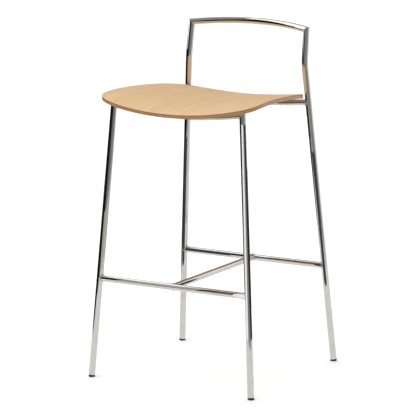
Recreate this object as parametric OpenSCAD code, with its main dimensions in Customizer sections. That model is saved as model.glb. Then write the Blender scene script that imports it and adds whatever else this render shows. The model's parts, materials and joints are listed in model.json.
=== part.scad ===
// Bar stool with footrest: bent-tube frame, moulded plywood seat.
// Millimetres, +Z up, the front faces -Y, the origin is on the floor
// under the middle of the stool.

/* [Output] */
// which piece to draw, or all

/* [Tubes] */
// outer diameter of the leg, back and seat-rail tubes
leg_d = 18; // [17:0.5:19]
// outer diameter of the stretcher tubes
bar_d = 17; // [15:0.5:18]
// wall of every tube
wall = 1.5; // [1:0.25:2]

/* [Feet and splay] */
// half the distance between the front feet, on the tube axes
front_foot_x = 253; // [251:0.5:256]
// half the distance between the rear feet, on the tube axes
rear_foot_x = 249.5; // [248:0.5:251]
// distance from the middle to the front and rear feet
foot_y = 247; // [246:0.5:248]
// sideways lean of the front legs, degrees
front_splay = 3.9; // [3.8:0.05:4]
// fore-and-aft lean of the front legs, degrees
front_rake = 3.3; // [3.2:0.05:3.4]
// sideways lean of the rear legs, degrees
rear_splay = 4.25; // [4.2:0.05:4.3]
// fore-and-aft lean of the rear legs, degrees
rear_rake = 4.5; // [4.4:0.05:4.6]

/* [Back] */
// height of the bend in the rear tubes
bend_z = 858; // [845:1:870]
// radius of that bend on the tube axis
bend_r = 150; // [90:5:200]
// half the width of the back at its mitred corners
back_x = 183.5; // [182:0.5:185]
// how far back the corners are
back_y = 192; // [190:0.5:195]
// height of the corners, on the tube axis
back_z = 950; // [940:1:960]
// how far the top rail bows backward
back_bow = 32; // [20:1:40]
// how far the top rail rises in its middle
back_crown = 10; // [5:1:14]

/* [Rails and stretchers] */
// height of the front seat rail at its mitred corners
front_rail_z = 765.3; // [763.5:0.1:765.3]
// how far the front seat rail dips in its middle
front_rail_dip = 16; // [16:0.5:20]
// height of the rear seat rail where it meets the legs
rear_rail_z = 748.5; // [745:0.5:748.5]
// how far the rear seat rail dips in its middle
rear_rail_dip = 11; // [11:0.5:14]
// height of the footrest bar
footrest_z = 280; // [250:1:330]
// height of the rear stretcher
rear_bar_z = 279; // [250:1:330]

/* [Seat outline] */
// half the greatest width of the seat
seat_half_w = 240.5; // [236:0.5:244]
// where that width is, from the middle
seat_wide_y = -169; // [-175:1:-160]
// front edge of the seat on the centreline
seat_front_y = -258; // [-262:1:-254]
// how far back the rear corners are
seat_rear_y = 181; // [179:0.5:181]
// how far the rear edge bulges past its corners
seat_rear_bow = 16; // [8:1:20]
// squareness of the front corners seen along the width
front_square_x = 3.4; // [3:0.1:3.8]
// squareness of the front corners seen along the depth
front_square_y = 3.5; // [3.2:0.1:3.8]
// half-width lost evenly from the widest place to the rear
seat_taper = 28; // [27:0.5:30]
// half-width lost in the rounded rear corners
seat_tuck = 31; // [31:0.5:33]

/* [Seat surface] */
// total thickness of the plywood
seat_t = 11.5; // [10:0.5:11.5]
// thickness of each face veneer
veneer_t = 0.7; // [0.6:0.1:1]
// height of the top face in the middle of the seat
seat_z = 775.3; // [775.3:0.1:778]
// fall of the centreline toward the rear
seat_pitch = 9.6; // [9:0.1:10]
// round of the centreline, front to rear
seat_crown = 10.8; // [10:0.1:11]
// extra roll-off at the front and rear edges
seat_roll = 11.9; // [11:0.1:12.5]
// rise of the sides over the middle
seat_dish = 25.5; // [25:0.1:26.5]
// how much more the sides rise at the front than at the rear
seat_wind = 4.5; // [4:0.1:5]
// how much the rise eases off near the sides
seat_ease = 8.1; // [7.5:0.1:8.5]

/* [Fixings] */
// sideways position of the four seat screws
fixing_x = 110; // [90:1:125]
// thread size of the seat screws
screw_d = 6; // [5:1:6]
// head diameter of the seat screws
screw_head_d = 10.5; // [10:0.5:11]
// hole under each seat screw, through which its head enters the rail
access_d = 12; // [11.5:0.25:12.5]
// outer diameter of the threaded inserts
insert_d = 9.5; // [9:0.5:10]
// depth of the threaded inserts in the plywood
insert_h = 8.5; // [8:0.5:8.5]
// diameter of the spacer pads
pad_d = 15; // [14:0.5:16]

/* [Glides] */
// height of the glide's visible flange
glide_h = 6; // [4:0.5:8]
// length of the glide's plug inside the tube
glide_plug = 22; // [15:1:30]

/* [Hidden] */
$fn = 64;
LEFT = -1;
RIGHT = 1;
// facets of a tube in the preview mesh
tube_fn = 72;
// how much a bent length swells over the straight ones, and their overlap
swell = 0.05;
lap = 0.4;
// depth of the glide's grip rings, and its clearance in the tube
rib_h = 0.6;
plug_gap = 0.15;
// height of a screw's head
head_h = 3;
// turn of a glide about its leg, which keeps its seam off the tips of the cut sole
glide_turn = 90;
// rings of cells between the seat's outline and its middle
ring_n = 5;
// room between two faces that lie against each other, and at a cope
skin = 0.1;
cope = 0.05;

// ---- small vector helpers ----

function unit(v) = v / norm(v);
function side(v, s) = [s * v.x, v.y, v.z];

// axis of a leg at height z; s is LEFT or RIGHT
function front_axis(s, z) = [
    s * (front_foot_x - tan(front_splay) * z),
    -foot_y + tan(front_rake) * z,
    z,
];
function rear_axis(s, z) = [
    s * (rear_foot_x - tan(rear_splay) * z),
    foot_y - tan(rear_rake) * z,
    z,
];

// moves children so that their z axis runs from p along direction d
module aim(p, d) {
    translate(p)
        rotate([0, acos(d.z / norm(d)), atan2(d.y, d.x)])
            children();
}

// moves children into the frame with axes x, y, z at p
module place(p, x, y, z) {
    multmatrix([
        [x.x, y.x, z.x, p.x],
        [x.y, y.y, z.y, p.y],
        [x.z, y.z, z.z, p.z],
        [0, 0, 0, 1],
    ])
        children();
}

// round rod from p to q
module rod(p, q, r) {
    aim(p, q - p)
        cylinder(h = norm(q - p), r = r, $fn = tube_fn);
}

// rod with a shallow circular bend, from p to q, sagging by s along down;
// extra lengthens the arc past both of its ends
module bowed_rod(p, q, down, s, r, extra = 0) {
    half = norm(q - p) / 2;
    big = (half * half + s * s) / (2 * s);
    sweep = asin(half / big) + extra / big * 180 / PI;
    x = unit(q - p);
    place((p + q) / 2 - down * (big - s), down, x, cross(down, x))
        rotate([0, 0, -sweep])
            rotate_extrude(angle = 2 * sweep, $fn = 720)
                translate([big, 0])
                    circle(r = r, $fn = tube_fn);
}

// start direction of such a rod at p
function bow_dir(p, q, down, s) =
    let (half = norm(q - p) / 2, big = (half * half + s * s) / (2 * s))
    unit(q - p) * sqrt(1 - pow(half / big, 2)) + down * (half / big);

// point on the axis of such a rod at the sideways position x
function bow_point(p, q, down, s, x) =
    let (
        half = norm(q - p) / 2,
        big = (half * half + s * s) / (2 * s),
        fall = sqrt(big * big - x * x) - (big - s)
    )
    [x, (p + q).y / 2, (p + q).z / 2] + down * fall;

// half-space on the far side of the plane through p with normal n
module beyond(p, n) {
    aim(p, n)
        translate([-60, -60, 0])
            cube([120, 120, 120]);
}

// ---- axes of the frame ----

back_corner = [back_x, back_y, back_z];
back_lift = unit([0, back_bow, back_crown]);
back_sag = norm([back_bow, back_crown]);
front_corner = front_axis(RIGHT, front_rail_z);
rear_joint = rear_axis(RIGHT, rear_rail_z);
down = [0, 0, -1];

// direction in which the mitre plane of a corner faces
function mitre(leg_dir, rail_dir) = unit(leg_dir + rail_dir);

upright_dir = unit(back_corner - rear_axis(RIGHT, bend_z));
back_dir = bow_dir(back_corner, side(back_corner, -1), back_lift, back_sag);
back_mitre = mitre(upright_dir, back_dir);
front_leg_dir = unit(front_corner - front_axis(RIGHT, 0));
front_rail_dir = bow_dir(
    front_corner, side(front_corner, -1), down, front_rail_dip
);
front_mitre = mitre(front_leg_dir, front_rail_dir);

// ---- solid outlines of the tubes, before cutting ----

module front_leg_rod(r) {
    rod(front_axis(RIGHT, -20), front_corner + front_leg_dir * 20, r);
}

module rear_leg_rod(r) {
    knee = rear_axis(RIGHT, bend_z);
    low = unit(knee - rear_axis(RIGHT, 0));
    turn = acos(low * upright_dir);
    reach = bend_r * tan(turn / 2);
    inward = unit(upright_dir - low * (low * upright_dir));
    drop = norm(knee - rear_axis(RIGHT, 0)) + 20;
    rise = norm(back_corner - knee) + 20;
    place(knee, inward, cross(low, inward), low) {
        translate([0, 0, -drop])
            cylinder(h = drop - reach + lap, r = r, $fn = tube_fn);
        translate([bend_r, 0, -reach])
            rotate([90, 0, 0])
                rotate([0, 0, 180 - turn])
                    rotate_extrude(angle = turn, $fn = 360)
                        translate([bend_r, 0])
                            circle(r = r + swell, $fn = tube_fn);
        rotate([0, turn, 0])
            translate([0, 0, reach - lap])
                cylinder(h = rise - reach + lap, r = r, $fn = tube_fn);
    }
}

module back_rail_rod(r) {
    bowed_rod(side(back_corner, -1), back_corner, back_lift, back_sag, r, 20);
}

module front_rail_rod(r) {
    bowed_rod(side(front_corner, -1), front_corner, down, front_rail_dip, r, 20);
}

module rear_rail_rod(r) {
    bowed_rod(side(rear_joint, -1), rear_joint, down, rear_rail_dip, r);
}

module footrest_rod(r) {
    rod(front_axis(LEFT, footrest_z), front_axis(RIGHT, footrest_z), r);
}

module rear_bar_rod(r) {
    rod(rear_axis(LEFT, rear_bar_z), rear_axis(RIGHT, rear_bar_z), r);
}

centre_front = [0, front_axis(RIGHT, footrest_z).y, footrest_z];
centre_rear = [0, rear_axis(RIGHT, rear_bar_z).y, rear_bar_z];

module centre_rod(r) {
    rod(centre_front, centre_rear, r);
}

// children and their mirror image
module both() {
    children();
    mirror([1, 0, 0])
        children();
}

// ---- seat ----

// height of the face that lies t under the top face
function seat_top(x, y) =
    let (u = x / 240, v = y / 250)
    seat_z - seat_pitch * v - seat_crown * v * v - seat_roll * pow(v, 4)
    + u * u * (seat_dish - seat_wind * v) - seat_ease * pow(u, 4);
function seat_slope(x, y) = unit([
    seat_top(x - 1, y) - seat_top(x + 1, y),
    seat_top(x, y - 1) - seat_top(x, y + 1),
    2,
]);
function seat_point(x, y, t) = [x, y, seat_top(x, y)] - t * seat_slope(x, y);

seat_corner_x = seat_half_w - seat_taper - seat_tuck;

// right half of the outline, f from 0 at the front to 1 at the rear
function edge_front(f) = [
    seat_half_w * pow(sin(90 * f), 2 / front_square_x),
    seat_wide_y
    - (seat_wide_y - seat_front_y) * pow(cos(90 * f), 2 / front_square_y),
];
function edge_side(f) = [
    seat_half_w - seat_taper * f - seat_tuck * pow(f, 5),
    seat_wide_y + (seat_rear_y - seat_wide_y) * f,
];
function edge_rear(f) = [
    seat_corner_x * (1 - f),
    seat_rear_y + seat_rear_bow * (1 - pow(1 - f, 2)),
];
function edge_right() = concat(
    [for (i = [0:1:21]) edge_front(pow(i / 22, 1.35))],
    [for (i = [0:1:23]) edge_side(i / 24)],
    [for (i = [0:1:13]) edge_rear(i / 14)]
);
function flip(points) = [
    for (i = [len(points) - 1:-1:1]) [-points[i].x, points[i].y],
];
outline = concat(edge_right(), [edge_rear(1)], flip(edge_right()));
seat_middle = [0, -25];

// one face of the seat as rings of points shrinking to the middle
function face(t) = concat(
    [
        for (k = [0:1:ring_n - 1])
            for (p = outline)
                let (q = seat_middle + (p - seat_middle) * (1 - k / ring_n))
                seat_point(q.x, q.y, t),
    ],
    [seat_point(seat_middle.x, seat_middle.y, t)]
);

// the ply between depths t0 and t1 under the top face
module ply(t0, t1) {
    n = len(outline);
    size = n * ring_n + 1;
    polyhedron(
        points = concat(face(t0), face(t1)),
        faces = concat(
            // top and bottom rings, two triangles to a cell
            [
                for (k = [0:1:ring_n - 2])
                    for (i = [0:1:n - 1])
                        let (j = (i + 1) % n, a = k * n, b = a + n)
                        each [
                            [a + i, b + i, a + j],
                            [a + j, b + i, b + j],
                            [size + a + j, size + b + i, size + a + i],
                            [size + b + j, size + b + i, size + a + j],
                        ],
            ],
            // the fans in the middle and the rim
            [
                for (i = [0:1:n - 1])
                    let (j = (i + 1) % n, a = (ring_n - 1) * n)
                    each [
                        [a + i, size - 1, a + j],
                        [size + a + j, 2 * size - 1, size + a + i],
                        [i, j, size + i],
                        [j, size + j, size + i],
                    ],
            ]
        )
    );
}

// ---- seat fixings: each has a rail point and the seat's own direction ----

function front_fix() = bow_point(
    side(front_corner, -1), front_corner, down, front_rail_dip, fixing_x
);
function rear_fix() = bow_point(
    side(rear_joint, -1), rear_joint, down, rear_rail_dip, fixing_x
);
function fix_dir(p) = seat_slope(p.x, p.y);
// distance from the rail axis to the seat's underside along the fixing
function fix_reach(p) =
    let (d = fix_dir(p), gap = seat_top(p.x, p.y) - p.z)
    gap * d.z - seat_t;

module at_fix(p) {
    aim(p, fix_dir(p))
        children();
}

// screw hole in a rail's upper wall and access hole in its lower wall
module fix_bore(p) {
    at_fix(p) {
        cylinder(h = leg_d, d = screw_d + 0.6);
        translate([0, 0, -leg_d])
            cylinder(h = leg_d, d = access_d);
    }
}

module insert_bore(p) {
    at_fix(p)
        cylinder(h = fix_reach(p) + insert_h + skin, d = insert_d + 2 * skin);
}

module insert(p) {
    at_fix(p)
        translate([0, 0, fix_reach(p)])
            difference() {
                cylinder(h = insert_h, d = insert_d);
                translate([0, 0, -1])
                    cylinder(h = insert_h + 2, d = screw_d + skin);
            }
}

// button-head screw whose head bears inside the rail, under its upper wall
module screw(p) {
    bore = leg_d / 2 - wall;
    under = sqrt(bore * bore - screw_head_d * screw_head_d / 4) - skin;
    at_fix(p) {
        translate([0, 0, under - head_h])
            difference() {
                cylinder(h = head_h, d1 = screw_head_d - 3, d2 = screw_head_d);
                translate([0, 0, -1])
                    cylinder(h = head_h - 0.2, d = 4.6, $fn = 6);
            }
        translate([0, 0, under])
            cylinder(h = fix_reach(p) + insert_h - 1.5 - under, d = screw_d);
    }
}

// spacer between the rail that ends at q and dips by s, and the seat
module pad(p, s, q) {
    big = (q.x * q.x + s * s) / (2 * s);
    run = unit([sqrt(big * big - p.x * p.x), 0, p.x]);
    difference() {
        at_fix(p)
            cylinder(h = fix_reach(p) - skin, d = pad_d, $fn = tube_fn);
        at_fix(p)
            translate([0, 0, -1])
                cylinder(h = leg_d, d = screw_d + 0.6);
        rod(p - run * pad_d, p + run * pad_d, leg_d / 2 + skin / 2);
    }
}

// ---- glides ----

// plug glide whose sole is the floor, for a leg that starts at p along d
module glide_solid(p, d) {
    flange = glide_h / d.z;
    bore = leg_d - 2 * wall - 2 * plug_gap;
    core = bore - 2 * rib_h;
    difference() {
        aim(p, d)
            rotate([0, 0, glide_turn]) {
                translate([0, 0, -4])
                    cylinder(h = 4 + flange, d = leg_d);
                cylinder(h = flange + glide_plug, d = core);
                for (k = [0:1:3])
                    translate([0, 0, flange + 2 + 5 * k])
                        cylinder(h = 2, d = bore);
            }
        translate([p.x - 40, p.y - 40, -20])
            cube([80, 80, 20]);
    }
}

// ---- hollow tubes, right-hand side, before the left is mirrored ----

module front_leg() {
    foot = front_axis(RIGHT, 0);
    difference() {
        front_leg_rod(leg_d / 2);
        front_leg_rod(leg_d / 2 - wall);
        beyond(front_corner, front_mitre);
        beyond(foot + front_leg_dir * (glide_h / front_leg_dir.z), -front_leg_dir);
    }
}

module rear_leg() {
    foot = rear_axis(RIGHT, 0);
    dir = unit(rear_axis(RIGHT, bend_z) - foot);
    difference() {
        rear_leg_rod(leg_d / 2);
        rear_leg_rod(leg_d / 2 - wall);
        beyond(back_corner, back_mitre);
        beyond(foot + dir * (glide_h / dir.z), -dir);
    }
}

// ---- pieces ----

module seat_core() {
    color("saddlebrown")
        difference() {
            ply(veneer_t, seat_t - veneer_t);
            both() {
                insert_bore(front_fix());
                insert_bore(rear_fix());
            }
        }
}

module seat_top_veneer() {
    color("burlywood")
        ply(0, veneer_t);
}

module seat_bottom_veneer() {
    color("tan")
        difference() {
            ply(seat_t - veneer_t, seat_t);
            both() {
                insert_bore(front_fix());
                insert_bore(rear_fix());
            }
        }
}

module seat_inserts() {
    color("goldenrod")
        both() {
            insert(front_fix());
            insert(rear_fix());
        }
}

module seat_screws() {
    color("dimgray")
        both() {
            screw(front_fix());
            screw(rear_fix());
        }
}

module front_seat_pads() {
    color("darkslategray")
        both()
            pad(front_fix(), front_rail_dip, front_corner);
}

module rear_seat_pads() {
    color("darkslategray")
        both()
            pad(rear_fix(), rear_rail_dip, rear_joint);
}

module front_leg_right() {
    color("silver")
        front_leg();
}

module front_leg_left() {
    color("silver")
        mirror([1, 0, 0])
            front_leg();
}

module rear_leg_right() {
    color("lightsteelblue")
        rear_leg();
}

module rear_leg_left() {
    color("lightsteelblue")
        mirror([1, 0, 0])
            rear_leg();
}

module back_rail() {
    color("slategray")
        difference() {
            back_rail_rod(leg_d / 2);
            back_rail_rod(leg_d / 2 - wall);
            both()
                beyond(back_corner, -back_mitre);
        }
}

module front_seat_rail() {
    color("slategray")
        difference() {
            front_rail_rod(leg_d / 2);
            front_rail_rod(leg_d / 2 - wall);
            both() {
                beyond(front_corner, -front_mitre);
                fix_bore(front_fix());
            }
        }
}

module rear_seat_rail() {
    color("slategray")
        difference() {
            rear_rail_rod(leg_d / 2);
            rear_rail_rod(leg_d / 2 - wall);
            both() {
                rear_leg_rod(leg_d / 2 + cope);
                fix_bore(rear_fix());
            }
        }
}

module footrest_bar() {
    color("gray")
        difference() {
            footrest_rod(bar_d / 2);
            footrest_rod(bar_d / 2 - wall);
            both()
                front_leg_rod(leg_d / 2);
        }
}

module rear_stretcher() {
    color("gray")
        difference() {
            rear_bar_rod(bar_d / 2);
            rear_bar_rod(bar_d / 2 - wall);
            both()
                rear_leg_rod(leg_d / 2);
        }
}

module centre_stretcher() {
    color("gray")
        difference() {
            centre_rod(bar_d / 2);
            centre_rod(bar_d / 2 - wall);
            footrest_rod(bar_d / 2 + cope);
            rear_bar_rod(bar_d / 2 + cope);
        }
}

module glide_front_right() {
    color("black")
        glide_solid(front_axis(RIGHT, 0), front_leg_dir);
}

module glide_front_left() {
    color("black")
        mirror([1, 0, 0])
            glide_solid(front_axis(RIGHT, 0), front_leg_dir);
}

module glide_rear_right() {
    color("black")
        glide_solid(rear_axis(RIGHT, 0), unit(rear_axis(RIGHT, 1) - rear_axis(RIGHT, 0)));
}

module glide_rear_left() {
    color("black")
        mirror([1, 0, 0])
            glide_solid(rear_axis(RIGHT, 0), unit(rear_axis(RIGHT, 1) - rear_axis(RIGHT, 0)));
}

seat_core();
seat_top_veneer();
seat_bottom_veneer();
seat_inserts();
seat_screws();
front_seat_pads();
rear_seat_pads();
front_leg_left();
front_leg_right();
rear_leg_left();
rear_leg_right();
back_rail();
front_seat_rail();
rear_seat_rail();
footrest_bar();
rear_stretcher();
centre_stretcher();
glide_front_left();
glide_front_right();
glide_rear_left();
glide_rear_right();
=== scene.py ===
"""A bar stool with a footrest: a chromed tube frame under a moulded plywood seat.

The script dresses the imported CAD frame. Lengths are in metres unless a name ends in
_mm, +Z is up, the front faces -Y, and the origin is on the floor under the middle.
"""

import json  # noqa: E402
import logging  # noqa: E402
import math  # noqa: E402
import random  # noqa: E402
from collections.abc import Callable, Iterable, Sequence  # noqa: E402
from dataclasses import dataclass, field  # noqa: E402
from enum import Enum  # noqa: E402

import bmesh  # noqa: E402
import bpy  # noqa: E402
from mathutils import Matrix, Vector  # noqa: E402


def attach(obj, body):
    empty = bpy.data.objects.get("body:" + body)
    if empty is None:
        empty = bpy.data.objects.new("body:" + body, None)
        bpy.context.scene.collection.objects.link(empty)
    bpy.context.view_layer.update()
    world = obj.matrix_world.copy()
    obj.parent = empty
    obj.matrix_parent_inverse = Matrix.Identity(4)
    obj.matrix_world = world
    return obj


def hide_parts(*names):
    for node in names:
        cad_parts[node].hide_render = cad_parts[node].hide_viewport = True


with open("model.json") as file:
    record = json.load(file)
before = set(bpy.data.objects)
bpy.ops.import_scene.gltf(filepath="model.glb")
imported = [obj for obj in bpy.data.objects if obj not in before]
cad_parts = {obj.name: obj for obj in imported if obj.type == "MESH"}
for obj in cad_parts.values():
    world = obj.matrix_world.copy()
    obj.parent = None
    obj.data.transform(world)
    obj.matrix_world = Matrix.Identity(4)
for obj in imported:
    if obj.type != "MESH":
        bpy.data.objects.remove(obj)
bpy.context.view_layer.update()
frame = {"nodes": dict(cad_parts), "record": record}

LOG = logging.getLogger("bar_stool")
BODY = "root"
UP = Vector((0, 0, 1))
# the face angle past which an edge is shaded as a crease
CREASE_DEG = 38
# the same for the fine beads and seams, and for the seat's eased edge
BEAD_CREASE_DEG = 60
SEAT_CREASE_DEG = 50


class Side(Enum):
    """The two sides of the stool, seen from the front."""

    LEFT = -1
    RIGHT = 1

    @property
    def word(self) -> str:
        """The side's name as it stands in piece names."""
        return self.name.lower()


class Slot(Enum):
    """The record's material slots."""

    OAK = "oak_veneer"
    CORE = "ply_core"
    BACKING = "backing_veneer"
    CHROME = "tube_chrome"
    GLIDE = "glide_plastic"
    PAD = "pad_plastic"
    STEEL = "screw_steel"
    BRASS = "insert_brass"


# ---- shader tools ----


def linear(hex_colour: str) -> tuple[float, float, float, float]:
    """Turns an sRGB colour into the linear colour that a shader takes.

    Args:
        hex_colour: the colour as #RRGGBB.

    Returns:
        Linear red, green, blue and an alpha of 1.
    """
    parts = [int(hex_colour[i : i + 2], 16) / 255 for i in (1, 3, 5)]
    r, g, b = [p / 12.92 if p <= 0.04045 else ((p + 0.055) / 1.055) ** 2.4 for p in parts]
    return r, g, b, 1.0


def per_metre(period_mm: float) -> float:
    """Texture scale of a pattern that repeats every period_mm."""
    return 1000 / period_mm


def feed(tree: bpy.types.NodeTree, node: bpy.types.Node, inputs: dict) -> None:
    """Sets or links a node's inputs.

    Args:
        tree: the node's tree.
        node: the node.
        inputs: for each input, by name or number, a value or the socket that feeds it.
    """
    for key, value in inputs.items():
        if isinstance(value, bpy.types.NodeSocket):
            tree.links.new(value, node.inputs[key])
        else:
            node.inputs[key].default_value = value


def add_node(
    tree: bpy.types.NodeTree,
    kind: str,
    inputs: dict | None = None,
    out: int | str = 0,
    stops: Sequence[tuple[float, str]] = (),
    **settings: object,
) -> bpy.types.NodeSocket:
    """Adds a node with its settings and links.

    Args:
        tree: the node tree that gets the node.
        kind: the node's type, without its ShaderNode prefix.
        inputs: for each input, by name or number, a value or the socket that feeds it.
        out: the output that is wanted, by name or number.
        stops: a colour ramp's places and sRGB colours, from first to last.
        settings: the node's own properties.

    Returns:
        The new node's output.
    """
    node = tree.nodes.new("ShaderNode" + kind)
    for name, value in settings.items():
        setattr(node, name, value)
    feed(tree, node, inputs or {})
    for i, (place, colour) in enumerate(stops):
        while len(node.color_ramp.elements) < len(stops):
            node.color_ramp.elements.new(0.5)
        node.color_ramp.elements[i].position = place
        node.color_ramp.elements[i].color = linear(colour)
    return node.outputs[out]


def new_material(name: str) -> tuple[bpy.types.Material, bpy.types.NodeTree, bpy.types.Node]:
    """Starts a node material.

    Args:
        name: the material's name.

    Returns:
        The material, its node tree and its Principled shader.
    """
    material = bpy.data.materials.new(name)
    material.use_nodes = True
    tree = material.node_tree
    return material, tree, tree.nodes["Principled BSDF"]


def stretched(
    tree: bpy.types.NodeTree, where: bpy.types.NodeSocket, periods_mm: Sequence[float]
) -> bpy.types.NodeSocket:
    """Metre coordinates scaled so that a pattern repeats at the given sizes.

    Args:
        tree: the material's node tree.
        where: the coordinates in metres.
        periods_mm: the pattern's size along x, y and z.

    Returns:
        The socket with the scaled coordinates.
    """
    scale = [per_metre(p) for p in periods_mm]
    return add_node(tree, "Mapping", {"Vector": where, "Scale": scale})


def mottled(
    tree: bpy.types.NodeTree,
    where: bpy.types.NodeSocket,
    texture: dict,
    colours: Sequence[tuple[float, str]],
    sheen: tuple[float, float, float, float],
) -> tuple[bpy.types.NodeSocket, bpy.types.NodeSocket]:
    """Uneven colour and roughness, as wear leaves them.

    Args:
        tree: the material's node tree.
        where: the coordinates in metres.
        texture: the settings of the noise that both follow.
        colours: the noise values at which the fresh and the worn colour stand.
        sheen: two noise values and the roughness at each of them.

    Returns:
        The sockets with the colour and the roughness.
    """
    noise = add_node(tree, "TexNoise", {"Vector": where, **texture})
    tint = add_node(tree, "ValToRGB", {"Fac": noise}, stops=colours)
    rough = add_node(tree, "MapRange", {0: noise, **dict(enumerate(sheen, 1))})
    return tint, rough


@dataclass(frozen=True)
class ChromePlate:
    """Bright nickel-chrome plate on polished steel tube.

    To the eye it is a slightly cool mirror, with a faint haze from handling and the long
    polishing waves that bend its reflections.
    """

    name: str = "bright_chrome_plate"
    colour: str = "#DCDAD7"
    worn_colour: str = "#D0CECB"
    roughness_low: float = 0.035
    roughness_high: float = 0.11
    haze_mm: float = 38.0
    wave_mm: float = 9.0
    wave_depth: float = 0.00003
    lathe_mm: float = 1.2

    def make(self) -> bpy.types.Material:
        """Builds the material."""
        material, tree, shader = new_material(self.name)
        where = add_node(tree, "TexCoord", out="Object")
        tint, rough = mottled(
            tree,
            where,
            {"Scale": per_metre(self.haze_mm), "Detail": 5.0, "Roughness": 0.6},
            ((0.45, self.colour), (0.8, self.worn_colour)),
            (0.35, 0.75, self.roughness_low, self.roughness_high),
        )
        # polishing waves, and the finer rings left by the tube mill, drawn coarse to show
        wave = add_node(
            tree, "TexNoise", {"Vector": where, "Scale": per_metre(self.wave_mm), "Detail": 1.0}
        )
        mill = add_node(
            tree,
            "TexNoise",
            {"Vector": stretched(tree, where, (40, 40, self.lathe_mm)), "Scale": 1.0},
        )
        relief = add_node(tree, "Math", {0: mill, 1: 0.12, 2: wave}, operation="MULTIPLY_ADD")
        bump = add_node(
            tree, "Bump", {"Height": relief, "Distance": self.wave_depth, "Strength": 0.6}
        )
        feed(
            tree,
            shader,
            {"Base Color": tint, "Metallic": 1.0, "Roughness": rough, "Normal": bump},
        )
        return material


@dataclass(frozen=True)
class OakVeneer:
    """Sliced oak veneer under a matt lacquer, pressed over the seat's mould.

    To the eye it is an even honey tan with long soft figure, fine darker pores that run
    from front to back, and a low satin sheen.
    """

    name: str = "matt_lacquered_oak_veneer"
    light: str = "#DDBD91"
    dark: str = "#CAA371"
    pore: str = "#97714A"
    roughness: float = 0.5
    coat: float = 0.04
    figure_mm: tuple[float, float, float] = (26.0, 520.0, 60.0)
    streak_mm: tuple[float, float, float] = (3.2, 150.0, 9.0)
    # oak's pores are about 0.25 mm wide; drawn at three times that so that they show
    pore_mm: tuple[float, float, float] = (0.8, 9.0, 0.8)
    pore_depth: float = 0.00006

    def make(self) -> bpy.types.Material:
        """Builds the material."""
        material, tree, shader = new_material(self.name)
        where = add_node(tree, "TexCoord", out="Object")
        figure, streak, pores = (
            add_node(
                tree, "TexNoise", {"Vector": stretched(tree, where, size_mm), "Scale": 1.0, **look}
            )
            for size_mm, look in (
                (self.figure_mm, {"Detail": 4.0, "Roughness": 0.55, "Distortion": 0.7}),
                (self.streak_mm, {"Detail": 3.0, "Roughness": 0.6}),
                (self.pore_mm, {"Detail": 2.0, "Roughness": 0.5}),
            )
        )
        grain = add_node(tree, "Math", {0: streak, 1: 0.45, 2: figure}, operation="MULTIPLY_ADD")
        wood = add_node(
            tree, "ValToRGB", {"Fac": grain}, stops=((0.35, self.dark), (1.0, self.light))
        )
        open_pore = add_node(tree, "MapRange", {0: pores, 1: 0.60, 2: 0.72, 3: 0.0, 4: 0.5})
        colour = add_node(
            tree, "Mix", {0: open_pore, 6: wood, 7: linear(self.pore)}, 2, data_type="RGBA"
        )
        rough = add_node(
            tree,
            "MapRange",
            {0: streak, 1: 0.3, 2: 0.7, 3: self.roughness - 0.05, 4: self.roughness + 0.07},
        )
        bump = add_node(
            tree,
            "Bump",
            {"Height": open_pore, "Distance": self.pore_depth, "Strength": 0.7},
            invert=True,
        )
        feed(tree, shader, {"Base Color": colour, "Roughness": rough, "Normal": bump})
        feed(tree, shader, {"Coat Weight": self.coat, "Coat Roughness": 0.25})
        return material


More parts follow.
